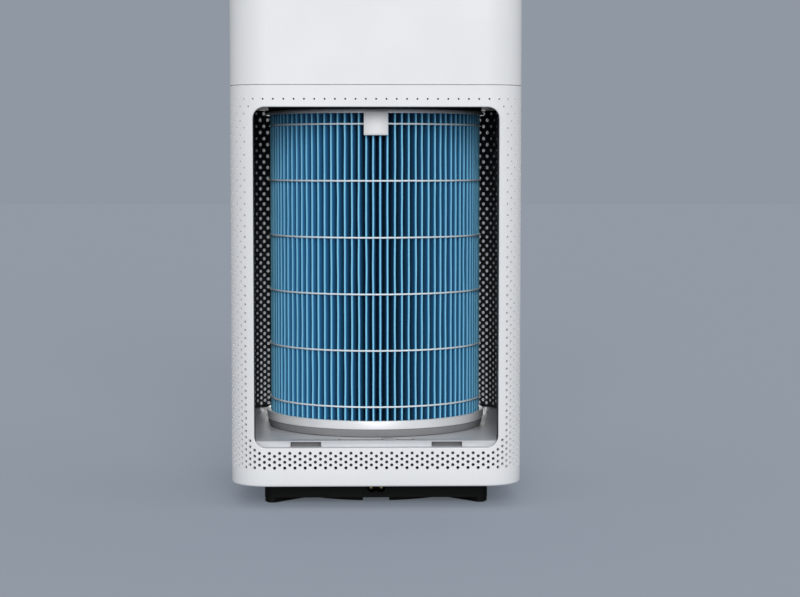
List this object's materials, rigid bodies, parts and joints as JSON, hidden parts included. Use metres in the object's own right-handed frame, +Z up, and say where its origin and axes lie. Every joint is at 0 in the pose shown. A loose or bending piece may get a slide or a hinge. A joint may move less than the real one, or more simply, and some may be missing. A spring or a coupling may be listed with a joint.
{
  "type": "air purifier",
  "caption": "Square tower air purifier with an open rear filter bay, a removable round pleated filter with pull tab, a radial fan and a round top grille with a power button.",
  "frame": {"origin": "on the floor under the centre of the body", "axes": "+Z up, -Y out of the rear filter opening, +X to the right seen from the rear"},
  "size_m": [0.24, 0.24, 0.52],
  "materials": {
    "white_housing": "satin",
    "white_trim": "satin",
    "black_base": "matte",
    "black_plastic": "matte",
    "rubber": "matte",
    "steel": "satin",
    "floor_grey": "satin",
    "brass_pin": "satin",
    "circuit_board": "satin",
    "components": "satin",
    "cable": "matte",
    "filter_paper": "matte",
    "carbon": "matte",
    "silver_plastic": "satin",
    "glue": "satin",
    "tab_plastic": "satin",
    "foam": "matte",
    "magnet": "matte",
    "copper": "satin",
    "aluminium": "satin",
    "light": "gloss"
  },
  "bodies": {
    "housing": {"base_plinth": "black_base", "foot_pads": "rubber", "base_screws": "steel", "power_inlet": "black_plastic", "inlet_pins": "brass_pin", "supply_board": "circuit_board", "supply_parts": "components", "lower_housing": "white_housing", "inner_liner": "black_plastic", "chamber_floor": "floor_grey", "wire_harness": "cable", "deck_seal": "foam", "fan_deck": "black_plastic", "inlet_guard": "black_plastic", "housing_screws": "steel", "motor_bearings": "steel", "stator_core": "steel", "stator_coils": "copper", "motor_mount": "aluminium", "motor_screws": "steel", "air_duct": "black_plastic", "duct_screws": "steel", "guide_vanes": "black_plastic", "upper_housing": "white_housing", "particle_sensor": "components", "outlet_grille": "black_plastic", "control_board": "circuit_board", "button_switch": "components", "control_panel": "white_trim", "light_ring": "light", "panel_screws": "steel"},
    "filter": {"pleat_pack": "filter_paper", "carbon_layer": "carbon", "core_tube": "silver_plastic", "lower_end_cap": "silver_plastic", "upper_end_cap": "silver_plastic", "glue_beads": "glue"},
    "pull_tab": {"pull_tab": "tab_plastic"},
    "rotor": {"impeller": "black_plastic", "rotor_can": "steel", "magnet_ring": "magnet", "motor_shaft": "steel", "shaft_clip": "steel"},
    "power_button": {"power_button": "white_trim"},
    "sensor_cover": {"sensor_cover": "white_trim"}
  },
  "joints": [
    {"name": "fan_spin", "type": "hinge", "parent": "housing", "child": "rotor", "pos_m": [0, 0, 0.42], "axis": [0, 0, 1], "continuous": true},
    {"name": "filter_slide", "type": "slide", "parent": "housing", "child": "filter", "axis": [0, -1, 0], "range_m": [0, 0.24]},
    {"name": "tab_lift", "type": "hinge", "parent": "filter", "child": "pull_tab", "pos_m": [0, -0.0956, 0.325], "axis": [-1, 0, 0], "range_deg": [0, 95]},
    {"name": "power_press", "type": "slide", "parent": "housing", "child": "power_button", "axis": [0, 0, -1], "range_m": [0, 0.0006], "stiffness_N_per_m": 3000},
    {"name": "sensor_cover_pull", "type": "slide", "parent": "housing", "child": "sensor_cover", "axis": [0, -1, 0], "range_m": [0, 0.03]}
  ]
}
